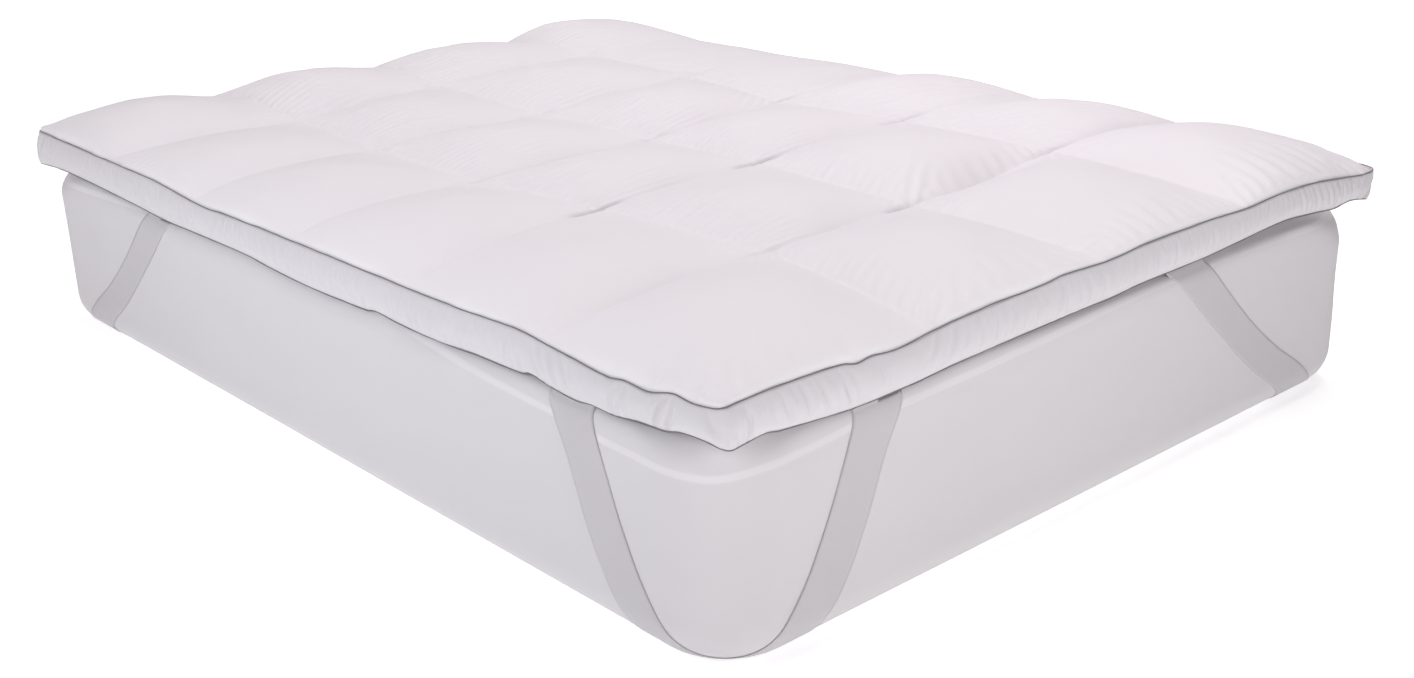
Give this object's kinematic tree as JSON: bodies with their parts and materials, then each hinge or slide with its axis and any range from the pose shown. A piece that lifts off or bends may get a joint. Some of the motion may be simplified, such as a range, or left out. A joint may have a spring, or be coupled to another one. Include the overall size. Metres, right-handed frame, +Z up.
{
  "type": "mattress topper on mattress",
  "caption": "Puffy quilted mattress topper with piped boxed sides and elastic corner straps, lying on a plain mattress.",
  "frame": {"origin": "middle of the mattress's underside, on the surface that it stands on", "axes": "+X across the bed, +Y along the bed from the foot end to the head end, +Z up"},
  "size_m": [1.5444, 2.0494, 0.4614],
  "materials": {
    "quilted_cotton": "matt white woven cotton",
    "side_cotton": "matt white woven cotton, crumpled",
    "grey_piping": "dark grey covered cord",
    "flat_elastic": "light grey woven elastic",
    "mattress_ticking": "matt light grey knitted ticking"
  },
  "bodies": {
    "root": {"pad": "quilted_cotton", "gusset": "side_cotton", "piping_upper": "grey_piping", "piping_lower": "grey_piping", "strap_foot_left": "flat_elastic", "strap_foot_right": "flat_elastic", "strap_head_left": "flat_elastic", "strap_head_right": "flat_elastic", "mattress": "mattress_ticking"}
  },
  "joints": []
}
